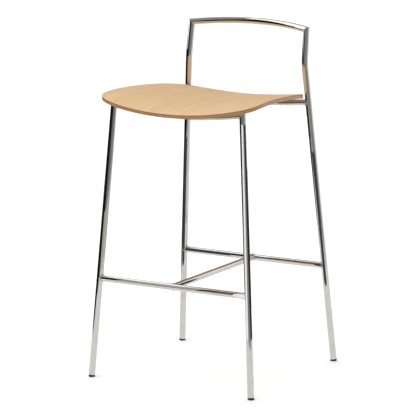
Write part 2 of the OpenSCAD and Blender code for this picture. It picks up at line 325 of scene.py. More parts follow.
@dataclass(frozen=True)
class PlyEdge:
    """The routed and lacquered edge of cross-laminated plies.

    To the eye it is a stack of thin brown bands: smooth along the grain and darker and
    speckled across it, with near-black glue lines between.
    """

    name: str = "lacquered_plywood_edge"
    along: str = "#B98C60"
    across: str = "#99704A"
    glue: str = "#4A2F1C"
    # the colour that the edge darkens to just under the top veneer
    singed: str = "#6A4428"
    ply_mm: float = 1.26
    # glue lines are about 0.1 mm; drawn at a quarter of a ply so that they show
    glue_share: float = 0.22
    first_mm: float = 0.7
    singed_mm: float = 2.3
    streak_mm: tuple[float, float, float] = (14.0, 14.0, 0.35)
    fibre_mm: float = 0.7

    def make(self) -> bpy.types.Material:
        """Builds the material. The map named plies holds the depth under the top face."""
        material, tree, shader = new_material(self.name)
        place = add_node(tree, "UVMap", uv_map="plies")
        depth = add_node(tree, "SeparateXYZ", {"Vector": place}, "Y")
        where = add_node(tree, "TexCoord", out="Object")
        steps = add_node(
            tree,
            "MapRange",
            {0: depth, 1: self.first_mm / 1000, 2: (self.first_mm + self.ply_mm) / 1000},
            clamp=False,
        )
        share = add_node(tree, "Math", {0: steps}, operation="FRACT")
        turn = add_node(tree, "Math", {0: steps, 1: 2.0}, operation="PINGPONG")
        crosswise = add_node(tree, "Math", {0: turn, 1: 1.0}, operation="GREATER_THAN")
        joint = add_node(tree, "Math", {0: share, 1: self.glue_share}, operation="LESS_THAN")
        streak = add_node(
            tree,
            "TexNoise",
            {"Vector": stretched(tree, where, self.streak_mm), "Scale": 1.0, "Detail": 3.0},
        )
        fibre = add_node(
            tree, "TexNoise", {"Vector": where, "Scale": per_metre(self.fibre_mm), "Detail": 2.0}
        )
        plies = add_node(
            tree,
            "Mix",
            {0: crosswise, 6: linear(self.along), 7: linear(self.across)},
            2,
            data_type="RGBA",
        )
        glued = add_node(
            tree, "Mix", {0: joint, 6: plies, 7: linear(self.glue)}, 2, data_type="RGBA"
        )
        # the edge is darkened most, at 85 %, just under the top veneer, fading out 2.3 mm down the
        # edge
        top_band_mask = add_node(
            tree,
            "MapRange",
            {0: depth, 1: self.first_mm / 1000, 2: self.singed_mm / 1000, 3: 0.85, 4: 0.0},
        )
        top_banded = add_node(
            tree, "Mix", {0: top_band_mask, 6: glued, 7: linear(self.singed)}, 2, data_type="RGBA"
        )
        mottle = add_node(tree, "Math", {0: streak, 1: 0.5, 2: fibre}, operation="MULTIPLY_ADD")
        shade = add_node(tree, "MapRange", {0: mottle, 1: 0.5, 2: 1.0, 3: 0.82, 4: 1.14})
        colour = add_node(
            tree, "Mix", {0: 1.0, 6: top_banded, 7: shade}, 2, data_type="RGBA", blend_type="MULTIPLY"
        )
        bump = add_node(tree, "Bump", {"Height": fibre, "Distance": 0.00008, "Strength": 0.5})
        feed(tree, shader, {"Base Color": colour, "Roughness": 0.4, "Normal": bump})
        feed(tree, shader, {"Coat Weight": 0.15, "Coat Roughness": 0.2})
        return material


@dataclass(frozen=True)
class MouldedPlastic:
    """Injection-moulded plastic with a fine spark-eroded texture.

    To the eye it is a dull surface whose tiny pits break up the highlight.
    """

    name: str
    colour: str
    worn_colour: str
    roughness: float
    grit_mm: float = 0.5
    scuff_mm: float = 7.0
    grit_depth: float = 0.00004

    def make(self) -> bpy.types.Material:
        """Builds the material."""
        material, tree, shader = new_material(self.name)
        where = add_node(tree, "TexCoord", out="Object")
        grit = add_node(
            tree, "TexNoise", {"Vector": where, "Scale": per_metre(self.grit_mm), "Detail": 3.0}
        )
        colour, rough = mottled(
            tree,
            where,
            {"Scale": per_metre(self.scuff_mm), "Detail": 4.0},
            ((0.45, self.colour), (0.75, self.worn_colour)),
            (0.3, 0.7, self.roughness - 0.06, self.roughness + 0.1),
        )
        bump = add_node(
            tree, "Bump", {"Height": grit, "Distance": self.grit_depth, "Strength": 0.6}
        )
        feed(tree, shader, {"Base Color": colour, "Roughness": rough, "Normal": bump})
        return material


@dataclass(frozen=True)
class TurnedMetal:
    """A small turned or headed metal part with tool marks around its axis.

    To the eye it is a metal with fine rings and slightly uneven colour.
    """

    name: str
    colour: str
    stained_colour: str
    roughness: float
    tool_mm: float = 0.4
    stain_mm: float = 4.0

    def make(self) -> bpy.types.Material:
        """Builds the material."""
        material, tree, shader = new_material(self.name)
        where = add_node(tree, "TexCoord", out="Object")
        rings = add_node(
            tree,
            "TexNoise",
            {"Vector": stretched(tree, where, (20, 20, self.tool_mm)), "Scale": 1.0},
        )
        colour, rough = mottled(
            tree,
            where,
            {"Scale": per_metre(self.stain_mm), "Detail": 4.0},
            ((0.4, self.colour), (0.75, self.stained_colour)),
            (0.3, 0.7, self.roughness - 0.06, self.roughness + 0.1),
        )
        bump = add_node(tree, "Bump", {"Height": rings, "Distance": 0.00003, "Strength": 0.5})
        feed(
            tree,
            shader,
            {"Base Color": colour, "Metallic": 1.0, "Roughness": rough, "Normal": bump},
        )
        return material


class Finishes:
    """All the stool's finishes, each built once and handed out by its slot."""

    def __init__(self) -> None:
        """Builds every finish."""
        self.by_slot: dict[Slot, bpy.types.Material] = {
            Slot.OAK: OakVeneer().make(),
            Slot.CORE: PlyEdge().make(),
            Slot.BACKING: OakVeneer(
                name="sanded_backing_veneer",
                light="#B48A60",
                dark="#9A7049",
                pore="#6F4E31",
                roughness=0.6,
                coat=0.02,
            ).make(),
            Slot.CHROME: ChromePlate().make(),
            # polyamide soaks up a little dust, which greys it where it is scuffed
            Slot.GLIDE: MouldedPlastic(
                "black_moulded_polyamide", "#121213", "#2A2A2B", 0.46
            ).make(),
            # clear polythene looks milky where it is thick
            Slot.PAD: MouldedPlastic(
                "natural_moulded_polythene", "#C9CBC8", "#B7B8B4", 0.38
            ).make(),
            # zinc plate is a soft blue-grey with duller patches
            Slot.STEEL: TurnedMetal("zinc_plated_steel", "#B9BCC0", "#8F9296", 0.3).make(),
            # turned brass dulls to a browner yellow
            Slot.BRASS: TurnedMetal("turned_brass", "#C9A35A", "#9C7A3E", 0.28).make(),
        }

    def dress(self, piece: bpy.types.Object, slot: Slot) -> None:
        """Gives a piece the finish of a slot.

        Args:
            piece: a new piece or a CAD node.
            slot: the record's material slot.
        """
        if not piece.material_slots:
            piece.data.materials.append(None)
        for place in piece.material_slots:
            place.material = self.by_slot[slot]


# ---- mesh tools ----


def mesh_piece(
    name: str,
    points: Iterable[Vector],
    faces: Sequence[Sequence[int]],
    crease_deg: float = CREASE_DEG,
) -> bpy.types.Object:
    """Makes a smooth-shaded mesh object whose sharp edges stay crisp.

    Args:
        name: the object's name.
        points: its vertices in the row frame.
        faces: its faces as vertex numbers.
        crease_deg: the angle past which an edge is shaded as a crease.

    Returns:
        The object, linked to the scene.
    """
    mesh = bpy.data.meshes.new(name)
    mesh.from_pydata([tuple(p) for p in points], [], faces)
    mesh.validate()
    for polygon in mesh.polygons:
        polygon.use_smooth = True
    mesh.set_sharp_from_angle(angle=math.radians(crease_deg))
    piece = bpy.data.objects.new(name, mesh)
    bpy.context.scene.collection.objects.link(piece)
    return piece


def face_outward(mesh: bpy.types.Mesh) -> None:
    """Turns every face of a closed mesh outward.

    Args:
        mesh: the mesh.
    """
    work = bmesh.new()
    work.from_mesh(mesh)
    bmesh.ops.recalc_face_normals(work, faces=work.faces)
    work.to_mesh(mesh)
    work.free()


def settle(piece: bpy.types.Object) -> None:
    """Makes what a piece's modifiers give its own mesh, and takes them off.

    Args:
        piece: the piece.
    """
    bpy.context.view_layer.update()
    shown = piece.evaluated_get(bpy.context.evaluated_depsgraph_get())
    mesh = bpy.data.meshes.new_from_object(shown)
    piece.modifiers.clear()
    piece.data = mesh


def band_faces(rings: int, sides: int, closed: bool) -> list[tuple[int, int, int, int]]:
    """Quads between rings of points that follow each other.

    Args:
        rings: how many rings there are.
        sides: how many points each has.
        closed: whether the last ring joins the first.

    Returns:
        The faces, which look outward where the rings turn clockwise seen along them.
    """
    quads = []
    for k in range(rings if closed else rings - 1):
        near, far = k * sides, (k + 1) % rings * sides
        for i in range(sides):
            j = (i + 1) % sides
            quads.append((near + i, near + j, far + j, far + i))
    return quads


def ring_shell(
    name: str, rings: Sequence[Sequence[Vector]], crease_deg: float = CREASE_DEG
) -> bpy.types.Object:
    """Makes a closed piece from rings, the last of which joins the first.

    Args:
        name: the object's name.
        rings: the rings, all with as many points.
        crease_deg: the angle past which an edge is shaded as a crease.

    Returns:
        The object.
    """
    points = [p for ring in rings for p in ring]
    return mesh_piece(name, points, band_faces(len(rings), len(rings[0]), True), crease_deg)


def transported(path: Sequence[Vector], wrap: bool = False) -> list[tuple[Vector, Vector, Vector]]:
    """Frames that follow a path without twisting.

    Args:
        path: the path's points.
        wrap: whether the path is a closed loop.

    Returns:
        For each point its tangent and the two axes of its cross-section.
    """
    count = len(path)
    frames = []
    across = None
    for k in range(count):
        before = path[(k - 1) % count] if wrap or k else path[0]
        after = path[(k + 1) % count] if wrap or k < count - 1 else path[-1]
        tangent = (after - before).normalized()
        if across is None:
            across = tangent.orthogonal()
        across = (across - tangent * across.dot(tangent)).normalized()
        frames.append((tangent, across.copy(), tangent.cross(across)))
    return frames


def circle_points(
    centre: Vector, across: Vector, aside: Vector, radius: float, sides: int
) -> list[Vector]:
    """Points of a circle.

    Args:
        centre: its middle.
        across: the axis that its first point lies on.
        aside: its other axis.
        radius: its radius.
        sides: how many points it has.

    Returns:
        The points in order, turning from across toward aside.
    """
    turns = [2 * math.pi * i / sides for i in range(sides)]
    return [centre + (across * math.cos(a) + aside * math.sin(a)) * radius for a in turns]


def straight(start: Vector, end: Vector, pitch: float = 0.04) -> list[Vector]:
    """Points of a straight path, at most pitch apart."""
    steps = max(2, math.ceil((end - start).length / pitch))
    return [start.lerp(end, k / steps) for k in range(steps + 1)]


def bowed(start: Vector, end: Vector, toward: Vector, sag: float, steps: int = 40) -> list[Vector]:
    """Points of a shallow circular bend.

    Args:
        start: its first point.
        end: its last point.
        toward: the direction in which its middle is displaced.
        sag: by how much.
        steps: how many lengths it is drawn with.

    Returns:
        The points from start to end.
    """
    half = (end - start) / 2
    radius = (half.length_squared + sag * sag) / (2 * sag)
    centre = (start + end) / 2 - toward * (radius - sag)
    limit = math.asin(half.length / radius)
    along = half.normalized()
    angles = [limit * (2 * k / steps - 1) for k in range(steps + 1)]
    return [centre + (toward * math.cos(a) + along * math.sin(a)) * radius for a in angles]


@dataclass(frozen=True)
class FlatCut:
    """A tube end that a plane cuts off."""

    point: Vector
    normal: Vector

    def reach(self, start: Vector, along: Vector) -> Vector:
        """Where a line from start meets the cut.

        Args:
            start: a point on the tube's skin, before its end.
            along: the direction toward the end.

        Returns:
            The point on the plane.
        """
        return start + along * ((self.point - start).dot(self.normal) / along.dot(self.normal))

    def outward(self, at: Vector) -> Vector:
        """The direction out of the cut, the same everywhere on it."""
        return self.normal


@dataclass(frozen=True)
class SaddleCut:
    """A tube end that is coped to sit on the skin of another tube."""

    point: Vector
    axis: Vector
    radius: float

    def reach(self, start: Vector, along: Vector) -> Vector:
        """Where a line from start meets the other tube.

        Args:
            start: a point on the tube's skin, before its end.
            along: the direction toward the other tube.

        Returns:
            The nearest point on the other tube's skin.
        """
        away = start - self.point
        run = along - self.axis * along.dot(self.axis)
        gap = away - self.axis * away.dot(self.axis)
        a, b, c = run.dot(run), run.dot(gap), gap.dot(gap) - self.radius**2
        return start + along * ((-b - math.sqrt(max(b * b - a * c, 0))) / a)

    def outward(self, at: Vector) -> Vector:
        """The other tube's outward direction at a point on its skin."""
        away = at - self.point
        return (away - self.axis * away.dot(self.axis)).normalized()


Cut = FlatCut | SaddleCut


@dataclass
class Tube:
    """A round tube with a wall, along a path that ends in two cuts."""

    name: str
    path: list[Vector]
    first_cut: Cut
    last_cut: Cut
    radius: float
    wall: float = 0.0015
    sides: int = 56

    def skin(self, radius: float) -> list[list[Vector]]:
        """Rings of points along the tube, the first and last of them on the cuts.

        Args:
            radius: the distance from the path.

        Returns:
            The rings from start to end.
        """
        frames = transported(self.path)
        rings = [
            circle_points(p, across, aside, radius, self.sides)
            for p, (_, across, aside) in zip(self.path, frames)
        ]
        back = (self.path[0] - self.path[1]).normalized()
        ahead = (self.path[-1] - self.path[-2]).normalized()
        rings[0] = [self.first_cut.reach(p, back) for p in rings[1]]
        rings[-1] = [self.last_cut.reach(p, ahead) for p in rings[-2]]
        return rings

    def make(self) -> bpy.types.Object:
        """Builds the tube, with its inner skin and its two cut ends."""
        rings = self.skin(self.radius) + self.skin(self.radius - self.wall)[::-1]
        return ring_shell(self.name, rings)

    def end_loop(self, last: bool) -> list[tuple[Vector, Vector]]:
        """The edge of a cut end on the outer skin.

        Args:
            last: whether it is the last end or the first.

        Returns:
            For each point of the edge, its place and the tube's outward direction there.
        """
        rings = self.skin(self.radius)
        edge, inner = (rings[-1], rings[-2]) if last else (rings[0], rings[1])
        middle = sum(inner, Vector()) / self.sides
        return [(p, (q - middle).normalized()) for p, q in zip(edge, inner)]


@dataclass
class WeldBead:
    """A plated fillet weld around a tube's coped end."""

    name: str
    tube: Tube
    last: bool
    radius: float = 0.0021
    # how far the bead's middle stands out of the corner, as a share of its radius
    stand: float = 0.12
    ripple: float = 0.05
    ripple_pitch: float = 0.0017
    sides: int = 12
    seed: int = 3

    def make(self) -> bpy.types.Object:
        """Builds the bead, with the small ripples that each pass of the torch leaves."""
        rng = random.Random(self.seed)
        cut = self.tube.last_cut if self.last else self.tube.first_cut
        loop = self.tube.end_loop(self.last)
        fine = self._refined(loop)
        path = [p for p, _ in fine]
        rings, run = [], 0.0
        for k, (tangent, _, _) in enumerate(transported(path, wrap=True)):
            place, skin = fine[k]
            lean = (skin + cut.outward(place)).normalized()
            lean = (lean - tangent * lean.dot(tangent)).normalized()
            aside = tangent.cross(lean)
            run += (path[k] - path[k - 1]).length if k else 0.0
            wave = math.sin(2 * math.pi * run / self.ripple_pitch)
            size = self.radius * (1 + self.ripple * (wave + rng.uniform(-0.4, 0.4)))
            middle = place + lean * self.stand * self.radius
            rings.append(circle_points(middle, lean, aside, size, self.sides))
        return ring_shell(self.name, rings, BEAD_CREASE_DEG)

    def _refined(self, loop: list[tuple[Vector, Vector]]) -> list[tuple[Vector, Vector]]:
        """The loop with two more points in each of its lengths.

        Args:
            loop: places and directions around the end.

        Returns:
            The same, three times as fine.
        """
        fine = []
        for (p, n), (q, m) in zip(loop, loop[1:] + loop[:1]):
            fine += [(p.lerp(q, t), n.lerp(m, t).normalized()) for t in (0, 1 / 3, 2 / 3)]
        return fine


@dataclass
class MitreSeam:
    """The dressed and plated seam where two tubes meet in a mitre."""

    name: str
    tube: Tube
    last: bool
    radius: float = 0.0011
    sunk: float = 0.0008
    sides: int = 10

    def make(self) -> bpy.types.Object:
        """Builds the seam as a low rounded band over the joint."""
        loop = self.tube.end_loop(self.last)
        path = [p for p, _ in loop]
        rings = []
        for (place, skin), (tangent, _, _) in zip(loop, transported(path, wrap=True)):
            lean = (skin - tangent * skin.dot(tangent)).normalized()
            aside = tangent.cross(lean)
            middle = place - lean * self.sunk
            rings.append(circle_points(middle, lean, aside, self.radius, self.sides))
        return ring_shell(self.name, rings, BEAD_CREASE_DEG)


# ---- the stool ----


@dataclass
class Maker:
    """Puts finished pieces on the frame and reports them."""

    finishes: Finishes
    made: list[str] = field(default_factory=list)

    def fit(self, piece: bpy.types.Object, slot: Slot, *nodes: str) -> None:
        """Dresses a new piece, rides it on the stool and lets it stand for CAD nodes.

        Args:
            piece: the new piece.
            slot: its material slot.
            nodes: the CAD nodes that it stands for.
        """
        self.finishes.dress(piece, slot)
        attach(piece, BODY)
        if nodes:
            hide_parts(*nodes)
        self.made.append(piece.name)
        LOG.info("piece %s: %s", piece.name, slot.value)

    def keep(self, node: str, slot: Slot) -> None:
        """Shows a CAD node as it is, in the finish of a slot.

        Args:
            node: the CAD node's name.
            slot: its material slot.
        """
        piece = frame["nodes"][node]
        self.finishes.dress(piece, slot)
        LOG.info("kept %s: %s", node, slot.value)


@dataclass(frozen=True)
class LegLine:
    """The straight lower axis of a leg, which leans inward on its way up."""

    foot: Vector
    splay_deg: float
    rake_deg: float

    def at(self, height: float) -> Vector:
        """The axis point at a height.

        Args:
            height: the height over the floor.

        Returns:
            The point.
        """
        inward = -math.copysign(math.tan(math.radians(self.splay_deg)), self.foot.x)
        toward_middle = -math.copysign(math.tan(math.radians(self.rake_deg)), self.foot.y)
        return self.foot + Vector((inward, toward_middle, 1)) * height

    @property
    def direction(self) -> Vector:
        """The direction up the leg."""
        return (self.at(1) - self.at(0)).normalized()

    def foot_cut(self, height: float) -> FlatCut:
        """The square cut across the tube where it stands on its glide.

        Args:
            height: the height of the tube's end on the axis.

        Returns:
            The cut, looking down.
        """
        return FlatCut(self.at(height), -self.direction)


def foot_point(end: str, side: Side) -> Vector:
    """The middle of a foot on the floor, from the record's mounts.

    Args:
        end: front or rear.
        side: the stool's side.

    Returns:
        The point.
    """
    name = f"foot_{end}_{side.word}"
    mounts = {m["name"]: m for m in frame["record"]["mounts"]}
    return Vector(mounts[name]["pos_m"])


@dataclass(frozen=True)
class FrameSizes:
    """The driving sizes of the welded frame."""

    leg_radius: float = 0.009
    bar_radius: float = 0.0085
    glide_height: float = 0.006
    front_splay_deg: float = 3.9
    front_rake_deg: float = 3.3
    rear_splay_deg: float = 4.25
    rear_rake_deg: float = 4.5
    # the rear tubes turn upright here, and the back's corners
    bend_height: float = 0.858
    bend_radius: float = 0.150
    back_corner: tuple[float, float, float] = (0.1835, 0.192, 0.950)
    back_bow: float = 0.032
    back_crown: float = 0.010
    front_rail_height: float = 0.7653
    front_rail_dip: float = 0.016
    rear_rail_height: float = 0.7485
    rear_rail_dip: float = 0.011
    footrest_height: float = 0.280
    rear_bar_height: float = 0.279

    def front_leg(self, side: Side) -> LegLine:
        """The axis of a front leg."""
        return LegLine(foot_point("front", side), self.front_splay_deg, self.front_rake_deg)

    def rear_leg(self, side: Side) -> LegLine:
        """The axis of a rear leg below its bend."""
        return LegLine(foot_point("rear", side), self.rear_splay_deg, self.rear_rake_deg)

    def corner(self, side: Side) -> Vector:
        """A corner of the back, on the tube's axis."""
        x, y, z = self.back_corner
        return Vector((side.value * x, y, z))


def inward_mitre(corner: Vector, leg_dir: Vector, rail_dir: Vector) -> FlatCut:
    """The plane that halves the angle between two tubes.

    Args:
        corner: where their axes meet.
        leg_dir: the direction of the first toward the corner.
        rail_dir: the direction of the second away from it.

    Returns:
        The cut.
    """
    return FlatCut(corner, (leg_dir + rail_dir).normalized())


@dataclass(frozen=True)
class SeatForm:
    """The moulded sheet: its outline seen from above and the height of its top face."""

    half_width: float = 0.2405
    wide_y: float = -0.169
    front_y: float = -0.258
    rear_y: float = 0.181
    rear_bow: float = 0.016
    square_x: float = 3.4
    square_y: float = 3.5
    taper: float = 0.028
    tuck: float = 0.031
    height: float = 0.7753
    pitch: float = 0.0096
    crown: float = 0.0108
    roll: float = 0.0119
    dish: float = 0.0255
    wind: float = 0.0045
    ease: float = 0.0081
    thickness: float = 0.0115
    edge_radius: float = 0.0013
    # the lengths that the top face's terms are measured in, across and along
    span: tuple[float, float] = (0.240, 0.250)
    # how many points draw half of the front, a side and half of the rear
    steps: tuple[int, int, int] = (48, 44, 30)
    # how strongly the front's points crowd toward its middle
    crowding: float = 1.35
    smoothings: int = 4

    def top(self, x: float, y: float) -> float:
        """Height of the top face.

        Args:
            x: the place across the seat.
            y: the place along it.

        Returns:
            The height over the floor.
        """
        u, v = x / self.span[0], y / self.span[1]
        centreline = self.height - self.pitch * v - self.crown * v * v - self.roll * v**4
        return centreline + u * u * (self.dish - self.wind * v) - self.ease * u**4

    def slope(self, x: float, y: float) -> Vector:
        """The upward direction square to the top face at a place.

        Args:
            x: the place across the seat.
            y: the place along it.

        Returns:
            The direction.
        """
        d = 0.001
        dx = self.top(x - d, y) - self.top(x + d, y)
        dy = self.top(x, y - d) - self.top(x, y + d)
        return Vector((dx, dy, 2 * d)).normalized()

    def point(self, x: float, y: float, depth: float) -> Vector:
        """The point of the sheet at a place, that far under the top face."""
        return Vector((x, y, self.top(x, y))) - self.slope(x, y) * depth

    def outline(self) -> list[Vector]:
        """The outline as flat points, anticlockwise seen from above, from the front middle."""
        right = []
        front_steps, side_steps, rear_steps = self.steps
        for k in range(front_steps):
            a = math.radians(90 * (k / front_steps) ** self.crowding)
            x = self.half_width * math.sin(a) ** (2 / self.square_x)
            fall = math.cos(a) ** (2 / self.square_y)
            right.append(Vector((x, self.wide_y - (self.wide_y - self.front_y) * fall, 0)))
        for k in range(side_steps):
            f = k / side_steps
            x = self.half_width - self.taper * f - self.tuck * f**5
            right.append(Vector((x, self.wide_y + (self.rear_y - self.wide_y) * f, 0)))
        corner_x = self.half_width - self.taper - self.tuck
        for k in range(rear_steps):
            f = k / rear_steps
            y = self.rear_y + self.rear_bow * (1 - (1 - f) ** 2)
            right.append(Vector((corner_x * (1 - f), y, 0)))
        rear = Vector((0, self.rear_y + self.rear_bow, 0))
        left = [Vector((-p.x, p.y, 0)) for p in right[:0:-1]]
        loop = right + [rear] + left
        for _ in range(self.smoothings):
            loop = [
                (loop[k - 1] + 2 * loop[k] + loop[(k + 1) % len(loop)]) / 4
                for k in range(len(loop))
            ]
        return loop

    def inset(self, depth: float) -> float:
        """How far the eased edge stands back from the outline at a depth.

        Args:
            depth: the depth under the top face.

        Returns:
            The distance.
        """
        r = self.edge_radius
        near = min(depth, self.thickness - depth)
        return 0.0 if near >= r else r - math.sqrt(r * r - (r - near) ** 2)


@dataclass(frozen=True)
class RailBores:
    """The holes in a seat rail: one for each screw and one for the driver under it."""

    form: SeatForm
    fixing_x: float = 0.110
    shank_radius: float = 0.0033
    access_radius: float = 0.006
    depth: float = 0.018
    sides: int = 40

    def cutter(self, point: Vector) -> bpy.types.Object:
        """Builds the stepped pin that both holes of a fixing are cut with.

        Args:
            point: where the fixing crosses the rail's axis.

        Returns:
            The pin.
        """
        up = self.form.slope(point.x, point.y)
        across = up.cross(Vector((0, 1, 0))).normalized()
        aside = up.cross(across)
        wide, narrow = self.access_radius, self.shank_radius
        steps = ((-self.depth, wide), (0.0, wide), (0.0, narrow), (self.depth, narrow))
        rings = [circle_points(point + up * h, across, aside, r, self.sides) for h, r in steps]
        last = (len(steps) - 1) * self.sides
        faces: list[tuple[int, ...]] = list(band_faces(len(steps), self.sides, False))
        faces.append(tuple(range(self.sides))[::-1])
        faces.append(tuple(range(last, last + self.sides)))
        return mesh_piece("bore_cutter", [p for ring in rings for p in ring], faces)

    def drill(self, rail: bpy.types.Object, path: list[Vector]) -> None:
        """Cuts the holes of both fixings.

        Args:
            rail: the rail's tube.
            path: its axis.
        """
        for x in (-self.fixing_x, self.fixing_x):
            a, b = next(pair for pair in zip(path, path[1:]) if pair[0].x <= x <= pair[1].x)
            cutter = self.cutter(a.lerp(b, (x - a.x) / (b.x - a.x)))
            for piece in (rail, cutter):
                face_outward(piece.data)
            cut = rail.modifiers.new("bore", "BOOLEAN")
            cut.operation, cut.solver, cut.object = "DIFFERENCE", "EXACT", cutter
            settle(rail)
            bpy.data.objects.remove(cutter)
        rail.data.set_sharp_from_angle(angle=math.radians(CREASE_DEG))


@dataclass
class FrontHoop:
    """The front legs and the rail that joins them under the seat."""

    sizes: FrameSizes
    bores: RailBores

    def build(self, maker: Maker) -> None:
        """Builds the two legs, the rail and the seams of its mitres.

        Args:
            maker: fits the pieces.
        """
        sizes = self.sizes
        left, right = (sizes.front_leg(s).at(sizes.front_rail_height) for s in Side)
        rail_path = bowed(left, right, -UP, sizes.front_rail_dip)
        cuts = {}
        for side in Side:
            line = sizes.front_leg(side)
            corner = line.at(sizes.front_rail_height)
            path = rail_path if side is Side.LEFT else rail_path[::-1]
            cuts[side] = inward_mitre(corner, line.direction, (path[1] - path[0]).normalized())
            leg = Tube(
                f"front_leg_{side.word}_tube",
                straight(line.at(sizes.glide_height), corner),
                line.foot_cut(sizes.glide_height),
                cuts[side],
                sizes.leg_radius,
            )
            maker.fit(leg.make(), Slot.CHROME, f"front_leg_{side.word}")
            seam = MitreSeam(f"front_mitre_seam_{side.word}", leg, last=True)
            maker.fit(seam.make(), Slot.CHROME)
        rail = Tube(
            "front_seat_rail_tube", rail_path, cuts[Side.LEFT], cuts[Side.RIGHT], sizes.leg_radius
        )
        piece = rail.make()
        self.bores.drill(piece, rail_path)
        maker.fit(piece, Slot.CHROME, "front_seat_rail")


@dataclass
class BackHoop:
    """The rear legs, which bend into the back's uprights, and the top rail."""

    sizes: FrameSizes
    bend_steps: int = 10
    rail_steps: int = 56

    def leg_path(self, side: Side) -> list[Vector]:
        """The axis of a rear tube from its glide to the back's corner.

        Args:
            side: the stool's side.

        Returns:
            Its points: the leg, the bend and the upright.
        """
        line = self.sizes.rear_leg(side)
        knee, corner = line.at(self.sizes.bend_height), self.sizes.corner(side)
        low, high = line.direction, (corner - knee).normalized()
        turn = low.angle(high)
        reach = self.sizes.bend_radius * math.tan(turn / 2)
        inward = (high - low * low.dot(high)).normalized()
        centre = knee - low * reach + inward * self.sizes.bend_radius
        bend = []
        for k in range(self.bend_steps + 1):
            a = turn * k / self.bend_steps
            spoke = low * math.sin(a) - inward * math.cos(a)
            bend.append(centre + spoke * self.sizes.bend_radius)
        leg = straight(line.at(self.sizes.glide_height), bend[0])
        return leg[:-1] + bend + straight(bend[-1], corner)[1:]

    def build(self, maker: Maker) -> None:
        """Builds the two rear tubes, the top rail and the seams of its mitres.

        Args:
            maker: fits the pieces.
        """
        sizes = self.sizes
        lift = Vector((0, sizes.back_bow, sizes.back_crown))
        left, right = sizes.corner(Side.LEFT), sizes.corner(Side.RIGHT)
        rail_path = bowed(left, right, lift.normalized(), lift.length, self.rail_steps)
        cuts = {}
        for side in Side:
            path = self.leg_path(side)
            rail = rail_path if side is Side.LEFT else rail_path[::-1]
            cuts[side] = inward_mitre(
                sizes.corner(side),
                (path[-1] - path[-2]).normalized(),
                (rail[1] - rail[0]).normalized(),
            )
            foot_cut = sizes.rear_leg(side).foot_cut(sizes.glide_height)
            name = f"rear_leg_{side.word}"
            tube = Tube(name + "_tube", path, foot_cut, cuts[side], sizes.leg_radius)
            maker.fit(tube.make(), Slot.CHROME, name)
            seam = MitreSeam(f"back_mitre_seam_{side.word}", tube, last=True)
            maker.fit(seam.make(), Slot.CHROME)
        top = Tube(
            "back_rail_tube", rail_path, cuts[Side.LEFT], cuts[Side.RIGHT], sizes.leg_radius
        )
        maker.fit(top.make(), Slot.CHROME, "back_rail")


@dataclass
class CrossBars:
    """The tubes welded between the legs: the rear seat rail and the three stretchers."""

    sizes: FrameSizes
    bores: RailBores

    def bar(
        self, name: str, line: Callable[[Side], LegLine], height: float, radius: float, dip: float
    ) -> Tube:
        """A bar between the two legs of one end.

        Args:
            name: the CAD node's name.
            line: gives the leg's axis on a side.
            height: where the bar meets the legs.
            radius: its outer radius.
            dip: how far its middle hangs below its ends.

        Returns:
            The tube.
        """
        left, right = (line(s).at(height) for s in Side)
        path = bowed(left, right, -UP, dip) if dip else straight(left, right)
        cuts = [
            SaddleCut(line(s).at(height), line(s).direction, self.sizes.leg_radius) for s in Side
        ]
        return Tube(name + "_tube", path, cuts[0], cuts[1], radius)

    def build(self, maker: Maker) -> None:
        """Builds the bars and the weld beads at their ends.

        Args:
            maker: fits the pieces.
        """
        s = self.sizes
        footrest = self.bar("footrest_bar", s.front_leg, s.footrest_height, s.bar_radius, 0)
        rear = self.bar("rear_stretcher", s.rear_leg, s.rear_bar_height, s.bar_radius, 0)
        seat_rail = self.bar(
            "rear_seat_rail", s.rear_leg, s.rear_rail_height, s.leg_radius, s.rear_rail_dip
        )
        across = Vector((1, 0, 0))
        front_middle = (footrest.path[0] + footrest.path[-1]) / 2
        rear_middle = (rear.path[0] + rear.path[-1]) / 2
        centre = Tube(
            "centre_stretcher_tube",
            straight(front_middle, rear_middle),
            SaddleCut(front_middle, across, s.bar_radius),
            SaddleCut(rear_middle, across, s.bar_radius),
            s.bar_radius,
        )
        for k, tube in enumerate((footrest, rear, centre, seat_rail)):
            node = tube.name.removesuffix("_tube")
            piece = tube.make()
            if tube is seat_rail:
                self.bores.drill(piece, tube.path)
            maker.fit(piece, Slot.CHROME, node)
            ends = ("front", "rear") if tube is centre else ("left", "right")
            for last, end in enumerate(ends):
                bead = WeldBead(f"{node}_weld_{end}", tube, bool(last), seed=10 * k + last)
                maker.fit(bead.make(), Slot.CHROME)


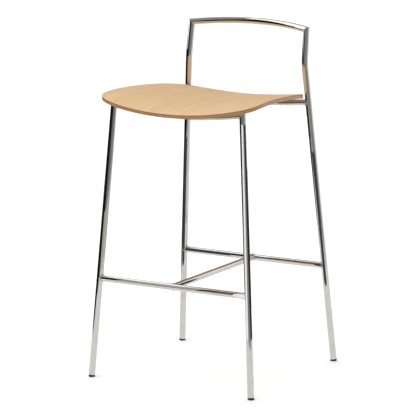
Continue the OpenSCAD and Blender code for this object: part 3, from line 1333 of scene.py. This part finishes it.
@dataclass
class Glides:
    """The plastic glides that plug the feet of the legs."""

    sizes: FrameSizes
    flange_radius: float = 0.00895
    sole_radius: float = 0.0079
    edge: float = 0.0010
    plug_radius: float = 0.0072
    plug_length: float = 0.022
    rib: float = 0.0003
    rib_pitch: float = 0.005
    rib_width: float = 0.002
    ribs: int = 4
    sides: int = 48

    def profile(self, flange: float) -> list[tuple[float, float]]:
        """The glide's outline from the sole up.

        Args:
            flange: the flange's height on the leg's axis.

        Returns:
            Radius and height of each point.
        """
        r, e = self.flange_radius, self.edge
        outline = [(self.sole_radius, 0.0), (r - 0.3 * e, 0.35 * e), (r, e)]
        outline += [(r, flange - 0.5 * e), (r - 0.3 * e, flange), (self.plug_radius, flange)]
        for k in range(self.ribs):
            foot = flange + self.rib_width + k * self.rib_pitch
            head = foot + self.rib_width
            out = self.plug_radius + self.rib
            outline += [(self.plug_radius, foot), (out, foot), (out, head)]
            outline += [(self.plug_radius, head)]
        top = flange + self.plug_length
        return outline + [(self.plug_radius, top - e), (self.plug_radius - e, top)]

    def make(self, name: str, line: LegLine) -> bpy.types.Object:
        """Builds one glide.

        Args:
            name: the piece's name.
            line: the axis of its leg.

        Returns:
            The piece, its sole flat on the floor.
        """
        axis = line.direction
        _, across, aside = transported([line.at(0), line.at(0.1)])[0]
        points = [line.at(0)]
        outline = self.profile(self.sizes.glide_height / axis.z)
        for radius, height in outline:
            ring = circle_points(line.at(0) + axis * height, across, aside, radius, self.sides)
            for p in ring:
                onto_floor = p - axis * (p.z / axis.z)
                points.append(onto_floor if height == 0 else self._above(p, axis))
        points.append(line.at(0) + axis * outline[-1][1])
        last = len(points) - 1
        faces = [tuple(1 + i for i in f) for f in band_faces(len(outline), self.sides, False)]
        for i in range(self.sides):
            j = (i + 1) % self.sides
            top = 1 + (len(outline) - 1) * self.sides
            faces += [(0, 1 + j, 1 + i), (last, top + i, top + j)]
        return mesh_piece(name, points, faces)

    def _above(self, point: Vector, axis: Vector) -> Vector:
        """The point, slid up the leg's axis if it would lie below the floor."""
        return point - axis * (min(point.z, 0) / axis.z)

    def build(self, maker: Maker) -> None:
        """Builds the four glides.

        Args:
            maker: fits the pieces.
        """
        for side in Side:
            for end, line in (
                ("front", self.sizes.front_leg(side)),
                ("rear", self.sizes.rear_leg(side)),
            ):
                node = f"glide_{end}_{side.word}"
                maker.fit(self.make(node + "_moulding", line), Slot.GLIDE, node)


@dataclass
class Seat:
    """The seat's plies: the oak face, the core whose edge shows, and the backing."""

    form: SeatForm
    veneer: float = 0.0007
    middle: Vector = field(default_factory=lambda: Vector((0, -0.025, 0)))
    rings: int = 26
    veneer_steps: int = 4
    core_steps: int = 9

    def layer(self, name: str, top: float, bottom: float, steps: int) -> bpy.types.Object:
        """Builds a layer of the sheet as a closed shell.

        Args:
            name: the piece's name.
            top: the depth of its upper face under the seat's top face.
            bottom: the depth of its lower face.
            steps: how many rings its edge has.

        Returns:
            The piece, with a map named plies that holds the place along and down the edge.
        """
        loop = self.form.outline()
        count = len(loop)
        turned = [loop[(k + 1) % count] - loop[k - 1] for k in range(count)]
        outward = [Vector((t.y, -t.x, 0)).normalized() for t in turned]
        shrink = [math.sin(math.pi / 2 * k / self.rings) for k in range(1, self.rings)]
        edge = [top + (bottom - top) * k / steps for k in range(steps + 1)]
        # each ring's share of the way out from the middle, and its depth
        rows = [(s, top) for s in shrink] + [(1.0, d) for d in edge]
        rows += [(s, bottom) for s in reversed(shrink)]
        points, marks = [], []
        lengths = [0.0]
        for k in range(count):
            lengths.append(lengths[-1] + (loop[(k + 1) % count] - loop[k]).length)
        for share, depth in rows:
            for p, n in zip(loop, outward):
                q = self.middle + (p - n * self.form.inset(depth) - self.middle) * share
                points.append(self.form.point(q.x, q.y, depth))
            marks.append(depth)
        faces = [face[::-1] for face in band_faces(len(rows), count, False)]
        first, last = len(points), len(points) + 1
        points += [self.form.point(self.middle.x, self.middle.y, d) for d in (top, bottom)]
        low = (len(rows) - 1) * count
        for i in range(count):
            j = (i + 1) % count
            faces += [(first, i, j), (last, low + j, low + i)]
        piece = mesh_piece(name, points, faces, SEAT_CREASE_DEG)
        self._map_plies(piece, count, lengths, marks + [top, bottom])
        return piece

    def _map_plies(
        self, piece: bpy.types.Object, count: int, lengths: list[float], marks: list[float]
    ) -> None:
        """Writes the place along the outline and the depth to the map named plies.

        Args:
            piece: the layer.
            count: how many points each ring has.
            lengths: the outline's length up to each of its points.
            marks: the depth of each ring, then those of the two middle points.
        """
        layer = piece.data.uv_layers.new(name="plies")
        middle = (len(marks) - 2) * count
        for polygon in piece.data.polygons:
            spots = [piece.data.loops[k].vertex_index for k in polygon.loop_indices]
            wraps = {s % count for s in spots if s < middle} >= {0, count - 1}
            for k, spot in zip(polygon.loop_indices, spots):
                if spot >= middle:
                    layer.uv[k].vector = (0.0, marks[spot - middle + len(marks) - 2])
                    continue
                step = spot % count
                step = count if wraps and step == 0 else step
                layer.uv[k].vector = (lengths[step], marks[spot // count])

    def build(self, maker: Maker) -> None:
        """Builds the three layers.

        Args:
            maker: fits the pieces.
        """
        full = self.form.thickness
        face = self.layer("seat_face_oak", 0.0, self.veneer, self.veneer_steps)
        maker.fit(face, Slot.OAK, "seat_top_veneer")
        core = self.layer("seat_core_plies", self.veneer, full - self.veneer, self.core_steps)
        maker.fit(core, Slot.CORE, "seat_core")
        back = self.layer("seat_backing", full - self.veneer, full, self.veneer_steps)
        maker.fit(back, Slot.BACKING, "seat_bottom_veneer")


class Fixings:
    """The screws, inserts and spacer pads between the seat and its rails."""

    nodes = {
        "seat_screws": Slot.STEEL,
        "seat_inserts": Slot.BRASS,
        "front_seat_pads": Slot.PAD,
        "rear_seat_pads": Slot.PAD,
    }

    def build(self, maker: Maker) -> None:
        """Dresses the CAD nodes, whose shapes are right as they are."""
        for node, slot in self.nodes.items():
            maker.keep(node, slot)


# ---- the studio ----


@dataclass(frozen=True)
class Viewpoint:
    """The camera, on a long lens a little above the seat."""

    azimuth_deg: float = 29.75
    elevation_deg: float = 11.03
    distance: float = 7.776
    lens_mm: float = 238.99
    # where the camera's axis passes the origin, to the right and up
    aside: float = -0.0186
    above: float = 0.4518

    def build(self) -> None:
        """Creates the camera and makes it the scene's own."""
        azimuth, elevation = math.radians(self.azimuth_deg), math.radians(self.elevation_deg)
        flat = Vector((math.sin(azimuth), -math.cos(azimuth), 0))
        back = flat * math.cos(elevation) + UP * math.sin(elevation)
        right = Vector((math.cos(azimuth), math.sin(azimuth), 0))
        above = back.cross(right)
        data = bpy.data.cameras.new("studio_camera")
        data.lens = self.lens_mm
        data.sensor_width = 36.0
        data.clip_end = 100.0
        camera = bpy.data.objects.new("studio_camera", data)
        camera.location = back * self.distance + right * self.aside + above * self.above
        camera.rotation_euler = (math.pi / 2 - elevation, 0, azimuth)
        bpy.context.scene.collection.objects.link(camera)
        bpy.context.scene.camera = camera


@dataclass(frozen=True)
class Glow:
    """A soft patch of the studio's walls, which only shiny surfaces mirror."""

    azimuth_deg: float
    elevation_deg: float
    core_deg: float
    rim_deg: float
    level: float

    @property
    def direction(self) -> Vector:
        """The direction toward the patch's middle."""
        a, e = math.radians(self.azimuth_deg), math.radians(self.elevation_deg)
        return Vector((math.sin(a) * math.cos(e), -math.cos(a) * math.cos(e), math.sin(e)))


@dataclass(frozen=True)
class Card:
    """A flat card that only shiny surfaces see."""

    name: str
    middle: tuple[float, float, float]
    width: float
    height: float
    azimuth_deg: float
    tilt_deg: float
    colour: str
    level: float


@dataclass
class Studio:
    """A pale floor under soft light, with white and black cards for the chrome."""

    sun_strength: float = 2.1
    # how wide the key is to the stool, and how it is turned from straight down
    sun_width_deg: float = 140
    sun_turn_deg: tuple[float, float, float] = (6, -58, 0)
    # what the room gives to matt surfaces, and what the chrome mirrors between the patches
    ambient: float = 0.84
    wall_level: float = 0.3
    floor_half: float = 30.0
    glows: tuple[Glow, ...] = (Glow(165, -5, 25, 75, 0.7), Glow(-90, -8, 64, 78, -0.3))
    cards: tuple[Card, ...] = (
        Card("floor_sweep_card", (0.4, -0.1, -0.003), 3.0, 3.6, 0, 0, "#FFFDFB", 0.86),
        Card("left_white_card", (-1.3, 0.2, 2.16), 2.2, 2.46, 90, 90, "#FFFFFF", 1.5),
        Card("front_black_flag", (-0.66, -0.64, 0.75), 1.08, 1.06, 0, 90, "#FFFFFF", 0.01),
        Card("front_dark_flag", (0.09, -0.64, 0.75), 0.42, 1.06, 0, 90, "#FFFFFF", 0.17),
        Card("front_grey_flag", (0.9, -0.64, 0.7), 1.2, 1.16, 0, 90, "#FFFFFF", 0.27),
        Card("back_brown_board", (-0.8, 1.3, 1.8), 2.2, 2.4, 0, 90, "#A88A6E", 0.9),
        # these hang close to the tubes that mirror them, so that hardly any others do
        Card("rear_left_flag", (-0.27, 0.1, 0.38), 0.26, 0.4, 0, 90, "#FFFFFF", 0.06),
        Card("rear_right_flag", (0.27, 0.1, 0.38), 0.26, 0.4, 0, 90, "#FFFFFF", 0.06),
        Card("near_bar_strip", (-0.09, -0.31, 0.37), 0.26, 0.17, 0, 90, "#F4EAE0", 0.55),
        Card("near_white_strip", (0.211, -0.274, 0.45), 0.07, 0.58, -10, 90, "#FFFFFF", 1.15),
        Card("near_black_strip", (0.274, -0.206, 0.45), 0.09, 0.58, 105, 90, "#FFFFFF", 0.03),
    )

    def floor(self) -> None:
        """Lays the pale floor, which the chrome doesn't mirror past the sweep."""
        h = self.floor_half
        corners = [Vector((x, y, 0)) for x, y in ((-h, -h), (h, -h), (h, h), (-h, h))]
        floor = mesh_piece("studio_floor", corners, [(0, 1, 2, 3)])
        material, tree, shader = new_material("matt_painted_floor")
        where = add_node(tree, "TexCoord", out="Object")
        mottle = add_node(
            tree, "TexNoise", {"Vector": where, "Scale": per_metre(400), "Detail": 3.0}
        )
        tint = add_node(
            tree, "ValToRGB", {"Fac": mottle}, stops=((0.3, "#FAFAF9"), (0.7, "#FBFBFA"))
        )
        feed(tree, shader, {"Base Color": tint, "Roughness": 0.85, "Specular IOR Level": 0.1})
        floor.data.materials.append(material)
        floor.visible_glossy = False

    def card(self, card: Card) -> None:
        """Hangs a card that lights nothing and shows only in the chrome.

        Args:
            card: its place, size and tone.
        """
        azimuth, tilt = math.radians(card.azimuth_deg), math.radians(card.tilt_deg)
        across = Vector((math.cos(azimuth), math.sin(azimuth), 0)) * card.width / 2
        deep = Vector((-math.sin(azimuth), math.cos(azimuth), 0))
        rise = (deep * math.cos(tilt) + UP * math.sin(tilt)) * card.height / 2
        middle = Vector(card.middle)
        corners = [middle - across - rise, middle + across - rise]
        corners += [middle + across + rise, middle - across + rise]
        sheet = mesh_piece(card.name, corners, [(0, 1, 2, 3)])
        material = bpy.data.materials.new(card.name)
        material.use_nodes = True
        tree = material.node_tree
        tree.nodes.clear()
        glow = add_node(tree, "Emission", {"Color": linear(card.colour), "Strength": card.level})
        feed(tree, tree.nodes.new("ShaderNodeOutputMaterial"), {"Surface": glow})
        sheet.data.materials.append(material)
        for ray in ("camera", "diffuse", "shadow", "transmission"):
            setattr(sheet, "visible_" + ray, False)

    def walls(self) -> None:
        """Sets the room: white to the eye, and darker walls with soft patches in the chrome."""
        world = bpy.data.worlds.new("studio_room")
        bpy.context.scene.world = world
        world.use_nodes = True
        tree = world.node_tree
        tree.nodes.clear()
        toward = add_node(tree, "TexCoord")
        level: float | bpy.types.NodeSocket = self.wall_level
        for glow in self.glows:
            facing = add_node(
                tree, "VectorMath", {0: toward, 1: glow.direction}, "Value", operation="DOT_PRODUCT"
            )
            rim, core = (math.cos(math.radians(a)) for a in (glow.rim_deg, glow.core_deg))
            patch = add_node(
                tree,
                "MapRange",
                {0: facing, 1: rim, 2: core, 3: 0.0, 4: glow.level},
                interpolation_type="SMOOTHSTEP",
            )
            level = add_node(tree, "Math", {0: patch, 1: level}, operation="ADD")
        level = add_node(tree, "Math", {0: level, 1: 0.0}, operation="MAXIMUM")
        mirrored = add_node(tree, "LightPath", out="Is Glossy Ray")
        viewed = add_node(tree, "LightPath", out="Is Camera Ray")
        lit = add_node(tree, "Mix", {0: mirrored, 2: self.ambient, 3: level}, data_type="FLOAT")
        seen = add_node(tree, "Mix", {0: viewed, 2: lit, 3: 1.0}, data_type="FLOAT")
        back = add_node(tree, "Background", {"Color": linear("#FFFFFF"), "Strength": seen})
        feed(tree, tree.nodes.new("ShaderNodeOutputWorld"), {"Surface": back})

    def sun(self) -> None:
        """Hangs the broad key light, high on the stool's left."""
        data = bpy.data.lights.new("broad_key", "SUN")
        data.energy = self.sun_strength
        data.angle = math.radians(self.sun_width_deg)
        lamp = bpy.data.objects.new("broad_key", data)
        lamp.rotation_euler = [math.radians(a) for a in self.sun_turn_deg]
        lamp.visible_glossy = False
        bpy.context.scene.collection.objects.link(lamp)

    def build(self) -> None:
        """Builds the floor, the cards, the room and the key light."""
        self.floor()
        for card in self.cards:
            self.card(card)
        self.walls()
        self.sun()
        bpy.context.scene.view_settings.view_transform = "Standard"


def main() -> None:
    """Builds the stool on its frame, then the studio."""
    logging.basicConfig(level=logging.INFO, format="%(name)s: %(message)s")
    maker = Maker(Finishes())
    sizes = FrameSizes()
    form = SeatForm()
    bores = RailBores(form)
    FrontHoop(sizes, bores).build(maker)
    BackHoop(sizes).build(maker)
    CrossBars(sizes, bores).build(maker)
    Glides(sizes).build(maker)
    Seat(form).build(maker)
    Fixings().build(maker)
    Studio().build()
    Viewpoint().build()
    LOG.info("%d new pieces", len(maker.made))


if __name__ == "__main__":
    main()
